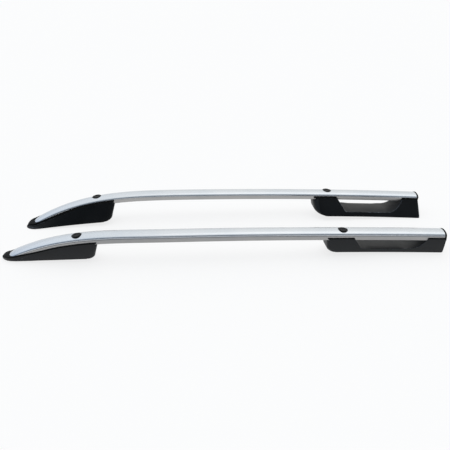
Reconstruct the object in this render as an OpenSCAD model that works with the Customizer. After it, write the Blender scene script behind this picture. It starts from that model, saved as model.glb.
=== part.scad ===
// Pair of roof side rails: a bowed hollow extrusion on moulded front and rear feet, left and right.
// Front (nose) at -X, rear at +X, standing on z = 0. The right rail stands at +Y, the left is its mirror.
// Inside a rail, y counts outboard from the rail's own straight base line.

/* [Pair] */
// Length of a rail over everything, nose to end cap
overall_len = 1206; // [1150:1:1260]
// Distance between the two rails' base lines as they stand side by side
pair_gap = 254; // [200:1:400]
// How far the right rail stands behind the left one
pair_shift = 27; // [0:0.5:40]

/* [Rail section] */
// Width of the extrusion at its creases
rail_w = 41; // [36:0.5:46]
// Height of the crown above the creases
crown_h = 7.8; // [6.5:0.1:9]
// Height of the flat side band below the creases
side_h = 15.2; // [13.5:0.1:17]
// How far both sides lean outboard over the side band
side_lean = 2.5; // [0:0.1:3]
// Wall of the extrusion
rail_wall = 2.4; // [2:0.1:3]
// Chamfer on the lower edges
edge_chamfer = 1.2; // [0.6:0.1:2]

/* [Rail line] */
// Height of the creases at the highest point
peak_h = 78.2; // [74:0.5:84]
// Height of the creases at the rear end
tail_h = 56; // [52:0.5:60]
// Distance of the highest point behind the nose
peak_back = 380; // [300:1:450]
// Distance behind the nose at which the rail starts to bend down
nose_run = 394; // [370:1:420]
// Extra drop of the rail over the nose bend
nose_drop = 78.7; // [76:0.1:81]
// Length over which the front tucks inboard
tuck_run = 463; // [300:1:500]
// How far the nose tucks inboard
nose_tuck = 35.3; // [10:0.1:38]
// How far the tail tucks inboard
tail_tuck = 2.5; // [0:0.1:8]
// Rise of the roof line under the middle of the rail
roof_rise = 18; // [12:0.5:24]
// Distance of the rail's rounded tip behind the nose
tip_back = 20; // [17:0.5:24]
// Height of the mitred underside of the tip above the roof line
mitre_h = 6; // [5:0.1:8]

/* [Covers] */
// Length of the front foot
front_len = 259.5; // [245:1:280]
// Length of the rear foot
rear_len = 344.5; // [335:0.5:365]
// Setback of the rear foot behind the end cap face
rear_inset = 2; // [1.5:0.1:4]
// Wall of both covers
cover_wall = 3; // [2.5:0.1:3.5]
// Thickness of the lips that clasp the rail
lip_t = 2.3; // [1.8:0.1:3]
// Gap between a cover and the extrusion
seat_gap = 0.3; // [0.2:0.05:0.5]
// Depth of the front lip below the crease, outer side
front_lip_out = 8.9; // [8:0.1:11]
// Depth of the front lip below the crease, inner side
front_lip_in = 1.7; // [1.5:0.1:5]
// Extra depth of the front lip on the inner side, between the tip and the plug
inner_dip = 3.3; // [0:0.1:5]
// Depth of the rear lips below the crease, outer side
rear_lip_out = 8.5; // [7:0.1:10]
// Depth of the rear lips below the crease, inner side
rear_lip_in = 4.2; // [3:0.1:6]
// How much shallower the rear lips get towards the end cap
lip_taper = 1.7; // [0:0.1:2.5]
// Half width of the base on the outer side
base_out = 18.7; // [16:0.1:22]
// How far the front base swings outboard of the rail's own line at the nose
base_toe = 3.4; // [0:0.1:6]
// Half width of the front base on the inner side
front_in = 41; // [34:0.5:46]
// Half width of the rear base on the inner side
rear_in = 56; // [50:0.5:62]
// Radius of the front foot's lower rear corner
front_corner = 24; // [16:1:28]
// Radius of the rear foot's lower front corner
rear_corner = 24; // [16:1:28]

/* [Window] */
// Setback of the window behind the rear foot's front edge, at the rail
win_back = 86; // [80:1:95]
// Slant of the window's front edge
win_slant = 19; // [10:1:26]
// Distance of the ramp's foot ahead of the rear foot's back face
win_end = 104; // [96:1:120]
// Radius of the ramp that rises behind the floor
win_ramp = 58; // [50:1:70]
// Height of the floor above the roof line
floor_h = 13; // [11:0.1:14]
// Radius of the window's lower front corner
win_corner = 6; // [3:0.5:9]

/* [Plugs and bolts] */
// Radius of the round plugs
plug_r = 13.2; // [12:0.1:15]
// Thickness of the plugs' discs
plug_t = 2; // [1.6:0.1:2.4]
// Depth of the spot face that a plug sits in
spot_depth = 1.6; // [1.2:0.1:2]
// Offset of the plugs outboard of the rail's middle
plug_out = 3; // [0:0.1:4]
// Distance of the front plug ahead of the front foot's rear edge
front_plug_in = 53; // [44:0.5:60]
// Distance of the rear plug behind the rear foot's front edge
rear_plug_back = 52; // [44:0.5:58]
// Distance of the end bolt ahead of the rear foot's back face
end_bolt_in = 26; // [22:1:30]
// Radius of the rail bolts' shanks
bolt_r = 4; // [3:0.1:5]
// Radius of the rail bolts' heads
bolt_head_r = 6.5; // [6:0.1:7.5]
// Height of the rail bolts' heads
bolt_head_h = 5; // [4:0.1:6]
// Length of the rail bolts below their washers
bolt_len = 22; // [18:1:24]
// Radius of the washers
washer_r = 8.5; // [7.5:0.1:9.5]
// Thickness of the washers
washer_t = 1.6; // [1:0.1:2]
// Radius of the threaded roof holes in the brackets
roof_hole_r = 3.4; // [2.5:0.1:4]
// Depth of the threaded roof holes
roof_hole_depth = 14; // [10:0.5:16]
// Clearance round bolts and plugs
bolt_clear = 0.2; // [0.1:0.05:0.4]

/* [Gaskets] */
// Thickness of the rubber pads under the covers
gasket_t = 2; // [1.5:0.1:3]
// Setback of the pads inside the covers' edges
gasket_in = 1.5; // [1:0.1:3]

/* [Hidden] */
$fn = 64;

silver = [0.80, 0.82, 0.86];
black = [0.13, 0.14, 0.15];
rubber = [0.07, 0.07, 0.08];
cast = [0.62, 0.63, 0.65];
zinc = [0.74, 0.72, 0.66];

// Stations along X
nose_x = -overall_len / 2;
tail_x = overall_len / 2;
bend_x = nose_x + nose_run;
peak_x = nose_x + peak_back;
tuck_x = nose_x + tuck_run;
tail_tuck_x = 150;
tip_x = nose_x + tip_back;
tip_r = rail_w / 2 + side_lean / 2;
front_end_x = nose_x + front_len;
rear_end_x = tail_x - rear_inset;
rear_start_x = rear_end_x - rear_len;
cap_plate = 4;
rail_end_x = tail_x - cap_plate;
win_x = rear_start_x + win_back;
win_floor_x = win_x + win_slant;
win_ramp_x = rear_end_x - win_end;

// Heights and side offsets of the lines that the pieces share
roof_r = (pow(overall_len / 2, 2) + pow(roof_rise, 2)) / (2 * roof_rise);
function roof_z(x) = sqrt(pow(roof_r, 2) - x * x) - roof_r + roof_rise;
function over(a, b) = max(0, a - b);
function crease_z(x) = peak_h
    - (peak_h - tail_h) * pow((x - peak_x) / (tail_x - peak_x), 2)
    - nose_drop * pow(over(bend_x, x) / nose_run, 3);
function slope(x) = atan(crease_z(x + 0.5) - crease_z(x - 0.5));
function line_y(x) = -nose_tuck * pow(over(tuck_x, x) / tuck_run, 2)
    - tail_tuck * pow(over(x, tail_tuck_x) / (tail_x - tail_tuck_x), 2);
function rail_floor_z(x) = crease_z(x) - side_h;
function side_at(depth) = side_lean * depth / side_h;

// Stations of the extrusion: close together over the nose bend, wide apart behind it
nose_steps = 13;
body_steps = 12;
grid = concat(
    [for (i = [0:nose_steps - 1]) nose_x + nose_run * i / nose_steps],
    [for (i = [0:body_steps]) bend_x + (tail_x - bend_x) * i / body_steps]
);
function stations(x0, x1) = concat([x0], [for (x = grid) if (x > x0 + 1 && x < x1 - 1) x], [x1]);

// D section with its lower edges chamfered, grown by g all round
crown_steps = 10;
function d_section(g) = let (hw = rail_w / 2 + g, low = -side_h - g, lean = side_lean, c = edge_chamfer)
    concat(
        [for (i = [0:crown_steps]) let (a = 180 * i / crown_steps) [hw * cos(a), (crown_h + g) * sin(a)]],
        [[lean - hw, low + c], [lean - hw + c, low], [lean + hw - c, low], [lean + hw, low + c]]
    );
function rail_ring(x, g) = [for (p = d_section(g)) [x, line_y(x) + p[0], crease_z(x) + p[1]]];

// Closed skin over rings that all have the same number of points
module skin(rings) {
    n = len(rings[0]);
    m = len(rings);
    polyhedron(
        points = [for (r = rings) each r],
        faces = concat(
            [[for (j = [0:n - 1]) j]],
            [for (i = [0:m - 2]) for (j = [0:n - 1]) [i * n + j, (i + 1) * n + j, (i + 1) * n + (j + 1) % n]],
            [for (i = [0:m - 2]) for (j = [0:n - 1]) [i * n + j, (i + 1) * n + (j + 1) % n, i * n + (j + 1) % n]],
            [[for (j = [0:n - 1]) (m - 1) * n + n - 1 - j]]
        ),
        convexity = 8
    );
}

module sweep(x0, x1, g) {
    skin([for (x = stations(x0, x1)) rail_ring(x, g)]);
}

// Half width, top and depth of the room that the cuts reach over
reach_y = 120;
reach_up = 120;
reach_down = 20;

// Prism across the rail from an outline drawn in X and Z
module across(pts) {
    rotate([90, 0, 0])
        linear_extrude(height = 2 * reach_y, center = true)
            polygon(pts);
}

// Everything below the roof line raised by h, the line drawn as short chords
roof_steps = 32;
roof_reach = overall_len / 2 + 40;
module below_roof(h) {
    across(concat(
        [[-roof_reach, -2 * reach_down]],
        [for (i = [0:roof_steps]) let (x = roof_reach * (2 * i / roof_steps - 1)) [x, roof_z(x) + h]],
        [[roof_reach, -2 * reach_down]]
    ));
}

// Plan outline with a round tip that trims the extrusion's front end
module tip_outline(g) {
    xc = tip_x + tip_r;
    translate([xc, line_y(xc) + side_lean / 2])
        circle(r = tip_r + g);
    translate([xc, -reach_y])
        square([overall_len, 2 * reach_y]);
}

// Envelope of the extrusion, grown by g: used for the rail itself and for the seats in the covers
module rail_body(x0, x1, g) {
    difference() {
        intersection() {
            sweep(x0, x1, g);
            translate([0, 0, -reach_down])
                linear_extrude(height = reach_down + reach_up)
                    tip_outline(g);
        }
        below_roof(mitre_h - g);
    }
}

// Frame at a bolt: origin on the crease line at x, +Z square to the extrusion
module at_bolt(x) {
    translate([x, line_y(x) + plug_out, crease_z(x)])
        rotate([0, -slope(x), 0])
            children();
}

front_bolt_x = front_end_x - front_plug_in;
mid_bolt_x = rear_start_x + rear_plug_back;
end_bolt_x = rear_end_x - end_bolt_in;
bolt_xs = [front_bolt_x, mid_bolt_x, end_bolt_x];
plug_xs = [front_bolt_x, mid_bolt_x];

// Rail: hollow extrusion, open at the mitred tip and at the rear
module rail() {
    color(silver)
        difference() {
            rail_body(nose_x, rail_end_x, 0);
            sweep(nose_x - 1, rail_end_x + 1, -rail_wall);
            for (x = plug_xs)
                at_bolt(x) {
                    translate([0, 0, crown_h - spot_depth])
                        cylinder(r = plug_r + bolt_clear, h = crown_h);
                    cylinder(r = plug_hole_r, h = crown_h);
                }
            for (x = bolt_xs)
                at_bolt(x)
                    translate([0, 0, -side_h * 1.5])
                        cylinder(r = bolt_r + bolt_clear, h = side_h);
        }
}

plug_hole_r = plug_r - 1.6;
plug_skirt_t = 1.6;
plug_skirt_h = 6;
dome_steps = 6;

// Plug: domed disc with a ring groove on top and a snap skirt below
module plug(x) {
    rim_t = plug_t * 0.55;
    skirt_r = plug_hole_r - bolt_clear;
    color(black)
        at_bolt(x)
            translate([0, 0, crown_h - spot_depth])
                rotate_extrude()
                    polygon(concat(
                        [[skirt_r - plug_skirt_t, 0], [skirt_r - plug_skirt_t, -plug_skirt_h]],
                        [[skirt_r, -plug_skirt_h], [skirt_r, 0], [plug_r, 0]],
                        [for (i = [0:dome_steps]) let (r = plug_r * (1 - i / dome_steps))
                            [r, plug_t - (plug_t - rim_t) * pow(r / plug_r, 2)]],
                        [[0, 0]]
                    ));
}

// End cap: plate over the extrusion's rear end with a hollow plug that pushes into it
cap_over = 0.4;
cap_depth = 12;
cap_wall = 2;
module end_cap() {
    color(black)
        difference() {
            union() {
                sweep(rail_end_x, tail_x, cap_over);
                sweep(rail_end_x - cap_depth, rail_end_x, -rail_wall - seat_gap);
            }
            sweep(rail_end_x - cap_depth - 1, rail_end_x, -rail_wall - seat_gap - cap_wall);
        }
}

// Quadratic curve from a to c pulled towards b, without its first point
curve_steps = 5;
function pulled(a, b, c) = [for (i = [1:curve_steps]) let (t = i / curve_steps)
    (1 - t) * (1 - t) * a + 2 * t * (1 - t) * b + t * t * c];

// Section of a cover at x: base half widths, lip half widths and lip heights of both sides
lip_round = 1.1;
base_drop = 6;
flare_out = 0.8;
flare_up = 0.25;
function cover_ring(x, bo, bi, ro, ri, zo, zi) = let (
        y = line_y(x),
        zb = roof_z(x),
        side = concat(
            [[bo, zb - base_drop]],
            pulled([bo, zb], [ro, (zb + zo) / 2], [ro, zo - lip_round]),
            [[ro - lip_round, zo], [lip_round - ri, zi], [-ri, zi - lip_round]],
            pulled([-ri, zi - lip_round], [-ri - (bi - ri) * flare_out, zb + (zi - zb) * flare_up], [-bi, zb]),
            [[-bi, zb - base_drop]]
        ))
    [for (p = side) [x, y + p[0], p[1]]];

// Shape laws of the nose: 0 at the very front, 1 where the full width is reached
nose_round = 42;
nose_blunt = 0.03;
base_skew = 7;
lip_skew = 5;
function dome(x, run) = let (t = min(1, max(nose_blunt, (x - nose_x) / run))) sqrt(1 - (1 - t) * (1 - t));
function about(half, k, shift) = half * k - shift * (1 - k);

// Lips of the front cover: over the crease at the tip, down to their full depth behind it
lip_reach = 96;
dip_reach = 130;
rise_out = 3;
rise_in = 0.5;
function part_of(x, run) = min(1, max(0, (x - tip_x) / run));
function lip_z(x, depth, rise, dip) = let (q = part_of(x, lip_reach))
    crease_z(x) - depth * sin(90 * q) - dip * sin(180 * part_of(x, dip_reach)) + rise * (1 - q);
function front_lip_z(x, depth, rise, dip) = x >= tip_x ? lip_z(x, depth, rise, dip)
    : roof_z(x) + (lip_z(tip_x, depth, rise, dip) - roof_z(x)) * dome(x, tip_back);
function out_half(depth) = rail_w / 2 + side_at(depth) + seat_gap + lip_t;
function in_half(depth) = rail_w / 2 - side_at(depth) + seat_gap + lip_t;
seat_t = 3;
function seat_z(x) = rail_floor_z(x) - seat_gap - seat_t;

// Front cover's section, set in by t all round, with its lips or, for the cavity, up to the seat
function toe(x) = base_toe * (2 * (front_end_x - x) / front_len - 1);
function front_ring(x, t, lips) = let (kb = dome(x, nose_round), kr = dome(x, tip_back + tip_r))
    cover_ring(
        x,
        about(base_out + toe(x) - t, kb, base_skew), about(front_in - toe(x) - t, kb, -base_skew),
        about(out_half(front_lip_out) - t, kr, lip_skew), about(in_half(front_lip_in) - t, kr, -lip_skew),
        lips ? front_lip_z(x, front_lip_out, rise_out, 0) : seat_z(x),
        lips ? front_lip_z(x, front_lip_in, rise_in, inner_dip) : seat_z(x)
    );
// Rear cover's section, likewise
function rear_lip_z(x, depth) = crease_z(x) - depth + lip_taper * (x - rear_start_x) / rear_len;
function rear_ring(x, t, lips) = cover_ring(
    x,
    base_out - t, rear_in - t,
    out_half(rear_lip_out) - t, in_half(rear_lip_in) - t,
    lips ? rear_lip_z(x, rear_lip_out) : seat_z(x), lips ? rear_lip_z(x, rear_lip_in) : seat_z(x)
);

nose_offsets = [0, 2, 5, 9, 14, 20, 28, 42];
front_steps = 9;
front_xs = concat(
    [for (d = nose_offsets) nose_x + d],
    [for (i = [1:front_steps]) nose_x + nose_round + (front_len - nose_round + 2) * i / front_steps]
);
rear_steps = 8;
rear_xs = [for (i = [0:rear_steps]) rear_start_x + rear_len * i / rear_steps];
front_cavity_back = 62;

function arc(cx, cz, r, a0, a1, n) = [for (i = [0:n]) let (a = a0 + (a1 - a0) * i / n) [cx + r * cos(a), cz + r * sin(a)]];
corner_steps = 8;
// The corners' arcs dip below the roof line a little, so that the base cuts them cleanly
corner_dip = 0.6;
lip_back = 5.5;

// Side outline of the front cover: slanted rear edge, big lower corner, lip cut back at 45 degrees
front_slant = 7;
module front_outline(t) {
    r = front_corner - t;
    cx = front_end_x - front_slant - front_corner;
    cz = roof_z(cx) + gasket_t + front_corner - corner_dip;
    top = rail_floor_z(front_end_x);
    across(concat(
        [[nose_x - 5, reach_up], [nose_x - 5, -reach_down], [cx, -reach_down]],
        arc(cx, cz, r, -90, 0, corner_steps),
        [[front_end_x - t, top], [front_end_x - t - lip_back, top + lip_back], [front_end_x - t - lip_back, reach_up]]
    ));
}

// Side outline of the rear cover: slanted front edge with a big lower corner
rear_slant = 4;
module rear_outline(t) {
    r = rear_corner - t;
    cx = rear_start_x + rear_slant + rear_corner;
    cz = roof_z(cx) + gasket_t + rear_corner - corner_dip;
    top = rail_floor_z(rear_start_x);
    across(concat(
        [[rear_end_x - t, reach_up], [rear_start_x + t + lip_back, reach_up]],
        [[rear_start_x + t + lip_back, top + lip_back], [rear_start_x + t, top]],
        arc(cx, cz, r, 180, 270, corner_steps),
        [[cx, -reach_down], [rear_end_x - t, -reach_down]]
    ));
}

// Outline of the window: slanted front, flat floor and a round ramp, grown by t
ramp_end = 65;
module window(t) {
    z1 = roof_z(win_floor_x) + floor_h;
    z2 = roof_z(win_ramp_x) + floor_h;
    lean = win_slant / (rail_floor_z(win_x) - z1);
    tilt = atan(lean);
    cx = win_floor_x + win_corner * (1 - sin(tilt)) / cos(tilt);
    corner = arc(cx, z1 + win_corner, win_corner + t, 180 + tilt, 270, 4);
    across(concat(
        [[corner[0][0] - (reach_up - corner[0][1]) * lean, reach_up]],
        corner,
        arc(win_ramp_x, z2 + win_ramp, win_ramp + t, -90, ramp_end - 90, 12),
        [[win_ramp_x + (win_ramp + t) * sin(ramp_end), reach_up]]
    ));
}

// Cast bracket: post under the rail bolt, plate on the roof, boss for the roof bolt
post_r = 10;
post_len = 70;
plate_t = 5;
boss_r = 9;
boss_h = roof_hole_depth + 4;
boss_y = -14;
plate_y0 = -30;
plate_y1 = 12;
plate_margin = 8;
chord_gap = 0.35;
screw_r = 1.6;
screw_head_r = 3.4;
screw_head_h = 2;
pillar_r = 4;
pillar_y = -16;
plate_lift = 1;
function plate_top(x) = roof_z(x) + gasket_t + plate_t + plate_lift;
function pad_drop(x) = side_h * cos(slope(x)) + chord_gap;

module bracket(x, boss_dx, pillar_dx) {
    x0 = x + min(boss_dx, pillar_dx, 0) - plate_margin;
    x1 = x + max(boss_dx, pillar_dx, 0) + plate_margin;
    y = line_y(x);
    color(cast)
        difference() {
            union() {
                at_bolt(x)
                    translate([0, 0, -pad_drop(x) - post_len])
                        cylinder(r = post_r, h = post_len);
                translate([x0, y + plate_y0, -reach_down])
                    cube([x1 - x0, plate_y1 - plate_y0, reach_down + plate_top(x)]);
                translate([x + boss_dx, y + boss_y, -reach_down])
                    cylinder(r = boss_r, h = reach_down + roof_z(x) + gasket_t + boss_h);
                web(x, boss_dx);
            }
            below_roof(gasket_t);
            at_bolt(x)
                translate([0, 0, -pad_drop(x) - bolt_len])
                    cylinder(r = bolt_r + bolt_clear / 2, h = bolt_len + 5);
            translate([x + boss_dx, y + boss_y, -reach_down])
                cylinder(r = roof_hole_r, h = reach_down + roof_z(x + boss_dx) + gasket_t + roof_hole_depth);
            translate([x + pillar_dx, y + pillar_y, -reach_down])
                cylinder(r = screw_r + bolt_clear, h = reach_down + reach_up);
            translate([x + pillar_dx, y + pillar_y, -reach_down])
                cylinder(r = screw_head_r + bolt_clear, h = reach_down + screw_seat_z(x));
        }
}
screw_sink = 0.6;
function screw_seat_z(x) = plate_top(x) - plate_t + screw_head_h + screw_sink;

// Web from the post down to the roof bolt's boss
web_t = 5;
web_low = 4;
web_down = 12;
module web(x, boss_dx) {
    y = line_y(x) + plug_out - web_t / 2;
    dir = sign(boss_dx);
    translate([x, y + web_t, 0])
        rotate([90, 0, 0])
            linear_extrude(height = web_t)
                polygon([[0, 0], [boss_dx, 0], [boss_dx, plate_top(x) + web_low],
                    [dir * post_r / 2, rail_floor_z(x) - web_down], [0, rail_floor_z(x) - web_down]]);
}

// Bracket layout: boss and pillar offsets from each rail bolt
front_boss_dx = -28;
front_pillar_dx = 12;
mid_boss_dx = 25;
mid_pillar_dx = -14;
end_boss_dx = -30;
end_pillar_dx = 15;

// Room for a bracket's post, and the pillar that its cover screw holds
post_clear = 0.5;
module post_room(x) {
    at_bolt(x)
        translate([0, 0, -reach_up])
            cylinder(r = post_r + post_clear, h = reach_up);
}
module pillar(x, dx) {
    translate([x + dx, line_y(x) + pillar_y, plate_top(x)])
        cylinder(r = pillar_r, h = seat_z(x + dx) + 1 - plate_top(x));
}
module pillar_hole(x, dx) {
    translate([x + dx, line_y(x) + pillar_y, plate_top(x) - 1])
        cylinder(r = screw_r - screw_bite, h = 1 + screw_len);
}
screw_len = 12;
screw_bite = 0.3;

// Cross ribs left standing in a cavity, at the stations xs
rib_t = 2;
module ribs(xs) {
    for (x = xs)
        translate([x, -reach_y, -reach_down])
            cube([rib_t, 2 * reach_y, reach_down + reach_up]);
}
front_rib_dx = [-102, -72];
module front_cavity() {
    difference() {
        intersection() {
            skin([for (x = front_xs) if (x > nose_x + front_cavity_back) front_ring(x, cover_wall, false)]);
            front_outline(cover_wall);
        }
        ribs([for (dx = front_rib_dx) front_bolt_x + dx]);
    }
}

// Front cover: lofted teardrop shell with ribs, seat and lips cut by the extrusion's own envelope
module front_foot() {
    color(black)
        difference() {
            union() {
                difference() {
                    intersection() {
                        skin([for (x = front_xs) front_ring(x, 0, true)]);
                        front_outline(0);
                    }
                    front_cavity();
                }
                pillar(front_bolt_x, front_pillar_dx);
            }
            rail_body(nose_x - 2, rail_end_x, seat_gap);
            post_room(front_bolt_x);
            pillar_hole(front_bolt_x, front_pillar_dx);
            below_roof(gasket_t);
        }
}

floor_ribs = 3;
module rear_cavity() {
    difference() {
        intersection() {
            skin([for (x = rear_xs) rear_ring(x, cover_wall, false)]);
            rear_outline(cover_wall);
        }
        window(cover_wall);
        ribs([for (i = [1:floor_ribs]) win_floor_x + (win_ramp_x - win_floor_x) * i / (floor_ribs + 1)]);
    }
}

// Rear cover: two hollow legs joined by a floor, with the window right through under the rail
module rear_foot() {
    color(black)
        difference() {
            union() {
                difference() {
                    intersection() {
                        skin([for (x = rear_xs) rear_ring(x, 0, true)]);
                        rear_outline(0);
                    }
                    rear_cavity();
                    window(0);
                }
                pillar(mid_bolt_x, mid_pillar_dx);
                pillar(end_bolt_x, end_pillar_dx);
            }
            rail_body(rear_start_x - 20, tail_x + 5, seat_gap);
            sweep(rail_end_x - 1, tail_x + 5, cap_over + seat_gap);
            post_room(mid_bolt_x);
            post_room(end_bolt_x);
            pillar_hole(mid_bolt_x, mid_pillar_dx);
            pillar_hole(end_bolt_x, end_pillar_dx);
            below_roof(gasket_t);
        }
}

// Gasket: rubber pad between a cover and the roof, with a hole for each roof bolt and screw
module front_gasket() {
    color(rubber)
        difference() {
            intersection() {
                skin([for (x = front_xs) front_ring(x, gasket_in, true)]);
                front_outline(gasket_in);
                below_roof(gasket_t);
                translate([nose_x + gasket_in, -reach_y, -reach_down])
                    cube([front_len, 2 * reach_y, reach_down + reach_up]);
            }
            below_roof(0);
            roof_bolt_room(front_bolt_x, front_boss_dx, front_pillar_dx);
        }
}
module rear_gasket() {
    color(rubber)
        difference() {
            intersection() {
                skin([for (x = rear_xs) rear_ring(x, gasket_in, true)]);
                rear_outline(gasket_in);
                below_roof(gasket_t);
            }
            below_roof(0);
            roof_bolt_room(mid_bolt_x, mid_boss_dx, mid_pillar_dx);
            roof_bolt_room(end_bolt_x, end_boss_dx, end_pillar_dx);
        }
}
roof_bolt_clear = 3;
module roof_bolt_room(x, boss_dx, pillar_dx) {
    translate([x + boss_dx, line_y(x) + boss_y, -reach_down])
        cylinder(r = roof_hole_r + roof_bolt_clear, h = reach_down + reach_up);
    translate([x + pillar_dx, line_y(x) + pillar_y, -reach_down])
        cylinder(r = screw_head_r + bolt_clear, h = reach_down + reach_up);
}

// Rail bolts: socket heads on washers inside the extrusion, shanks down into the brackets
function washer_z(x) = -(side_h - rail_wall) * cos(slope(x)) + washer_clear;
washer_clear = 0.1;
socket_depth = 3;
socket_r = 3.6;
module rail_bolts() {
    color(zinc)
        for (x = bolt_xs)
            at_bolt(x)
                translate([0, 0, washer_z(x) + washer_t])
                    difference() {
                        union() {
                            cylinder(r = bolt_head_r, h = bolt_head_h);
                            translate([0, 0, -bolt_len])
                                cylinder(r = bolt_r, h = bolt_len + 1);
                        }
                        translate([0, 0, bolt_head_h - socket_depth])
                            cylinder(r = socket_r, h = bolt_head_h, $fn = 6);
                    }
}
module bolt_washers() {
    color(zinc)
        for (x = bolt_xs)
            at_bolt(x)
                translate([0, 0, washer_z(x)])
                    difference() {
                        cylinder(r = washer_r, h = washer_t);
                        translate([0, 0, -1])
                            cylinder(r = bolt_r + bolt_clear, h = washer_t + 2);
                    }
}

// Cover screws: up through the bracket plates into the covers' pillars
screw_hold = 6;
screw_slack = 0.1;
module cover_screw(x, dx) {
    translate([x + dx, line_y(x) + pillar_y, screw_seat_z(x) - screw_head_h]) {
        cylinder(r = screw_head_r, h = screw_head_h);
        cylinder(r = screw_r - screw_bite - screw_slack, h = screw_head_h + plate_t + screw_hold);
    }
}
module cover_screws() {
    color(zinc) {
        cover_screw(front_bolt_x, front_pillar_dx);
        cover_screw(mid_bolt_x, mid_pillar_dx);
        cover_screw(end_bolt_x, end_pillar_dx);
    }
}

module right() { translate([pair_shift / 2, pair_gap / 2, 0]) children(); }
module left() { mirror([0, 1, 0]) translate([-pair_shift / 2, pair_gap / 2, 0]) children(); }

module left_rail() { left() rail(); }
module left_end_cap() { left() end_cap(); }
module left_front_foot() { left() front_foot(); }
module left_rear_foot() { left() rear_foot(); }
module left_front_plug() { left() plug(front_bolt_x); }
module left_rear_plug() { left() plug(mid_bolt_x); }
module left_front_bracket() { left() bracket(front_bolt_x, front_boss_dx, front_pillar_dx); }
module left_mid_bracket() { left() bracket(mid_bolt_x, mid_boss_dx, mid_pillar_dx); }
module left_end_bracket() { left() bracket(end_bolt_x, end_boss_dx, end_pillar_dx); }
module left_front_gasket() { left() front_gasket(); }
module left_rear_gasket() { left() rear_gasket(); }
module left_rail_bolts() { left() rail_bolts(); }
module left_bolt_washers() { left() bolt_washers(); }
module left_cover_screws() { left() cover_screws(); }
module right_rail() { right() rail(); }
module right_end_cap() { right() end_cap(); }
module right_front_foot() { right() front_foot(); }
module right_rear_foot() { right() rear_foot(); }
module right_front_plug() { right() plug(front_bolt_x); }
module right_rear_plug() { right() plug(mid_bolt_x); }
module right_front_bracket() { right() bracket(front_bolt_x, front_boss_dx, front_pillar_dx); }
module right_mid_bracket() { right() bracket(mid_bolt_x, mid_boss_dx, mid_pillar_dx); }
module right_end_bracket() { right() bracket(end_bolt_x, end_boss_dx, end_pillar_dx); }
module right_front_gasket() { right() front_gasket(); }
module right_rear_gasket() { right() rear_gasket(); }
module right_rail_bolts() { right() rail_bolts(); }
module right_bolt_washers() { right() bolt_washers(); }
module right_cover_screws() { right() cover_screws(); }

left_rail();
left_end_cap();
left_front_foot();
left_rear_foot();
left_front_plug();
left_rear_plug();
left_front_bracket();
left_mid_bracket();
left_end_bracket();
left_front_gasket();
left_rear_gasket();
left_rail_bolts();
left_bolt_washers();
left_cover_screws();
right_rail();
right_end_cap();
right_front_foot();
right_rear_foot();
right_front_plug();
right_rear_plug();
right_front_bracket();
right_mid_bracket();
right_end_bracket();
right_front_gasket();
right_rear_gasket();
right_rail_bolts();
right_bolt_washers();
right_cover_screws();
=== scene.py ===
import math
import bmesh
import bpy
from mathutils import Matrix, Vector


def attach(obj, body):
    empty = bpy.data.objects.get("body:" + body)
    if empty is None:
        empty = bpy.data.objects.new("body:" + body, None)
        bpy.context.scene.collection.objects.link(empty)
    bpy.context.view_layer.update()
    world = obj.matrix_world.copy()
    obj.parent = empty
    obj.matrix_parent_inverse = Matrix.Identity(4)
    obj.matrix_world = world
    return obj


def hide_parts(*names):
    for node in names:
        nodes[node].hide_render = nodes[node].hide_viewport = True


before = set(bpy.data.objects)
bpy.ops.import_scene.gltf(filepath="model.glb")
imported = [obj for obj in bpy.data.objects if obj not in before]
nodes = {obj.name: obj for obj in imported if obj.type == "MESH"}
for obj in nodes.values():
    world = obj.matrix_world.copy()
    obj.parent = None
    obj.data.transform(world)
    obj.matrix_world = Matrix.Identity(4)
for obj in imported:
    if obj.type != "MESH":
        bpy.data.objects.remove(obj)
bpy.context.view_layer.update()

SIDES = ("left", "right")


# Rubber pads under the feet, cut from sheet. They keep water out and stop the hard covers
# from marking the roof. They are trimmed further down, where the outlines of the feet are known.
def new_material(name):
    mat = bpy.data.materials.new(name)
    mat.use_nodes = True
    tree = mat.node_tree
    return mat, tree, tree.nodes["Principled BSDF"]


def add(tree, kind, **inputs):
    n = tree.nodes.new(kind)
    for key, value in inputs.items():
        n.inputs[key.replace("_", " ")].default_value = value
    return n


def new_group(name, takes, gives):
    tree = bpy.data.node_groups.new(name, "ShaderNodeTree")
    for label, kind, value in takes:
        socket = tree.interface.new_socket(label, in_out="INPUT", socket_type="NodeSocket" + kind)
        socket.default_value = value
    for label, kind in gives:
        tree.interface.new_socket(label, in_out="OUTPUT", socket_type="NodeSocket" + kind)
    return tree, tree.nodes.new("NodeGroupInput"), tree.nodes.new("NodeGroupOutput")


def place(tree, group, **values):
    n = tree.nodes.new("ShaderNodeGroup")
    n.node_tree = group
    for key, value in values.items():
        n.inputs[key.replace("_", " ")].default_value = value
    return n


def fine_grain():
    """Small bumps of a moulded or cast skin: a height, and a patchy mask for colour and gloss."""
    tree, enter, leave = new_group(
        "fine_grain",
        [("Size", "Float", 900.0), ("Patches", "Float", 25.0)],
        [("Height", "Float"), ("Patch", "Float")]
    )
    coords = tree.nodes.new("ShaderNodeTexCoord")
    cells = tree.nodes.new("ShaderNodeTexVoronoi")
    fine = add(tree, "ShaderNodeTexNoise", Detail=3.0, Roughness=0.6)
    cloud = add(tree, "ShaderNodeTexNoise", Detail=4.0, Roughness=0.55)
    mix = tree.nodes.new("ShaderNodeMath")
    mix.operation = "MULTIPLY_ADD"
    mix.inputs[1].default_value = 0.6
    for n, scale in ((cells, "Size"), (fine, "Size"), (cloud, "Patches")):
        tree.links.new(coords.outputs["Object"], n.inputs["Vector"])
        tree.links.new(enter.outputs[scale], n.inputs["Scale"])
    tree.links.new(cells.outputs["Distance"], mix.inputs[0])
    tree.links.new(fine.outputs["Fac"], mix.inputs[2])
    tree.links.new(mix.outputs[0], leave.inputs["Height"])
    tree.links.new(cloud.outputs["Fac"], leave.inputs["Patch"])
    return tree


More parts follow.
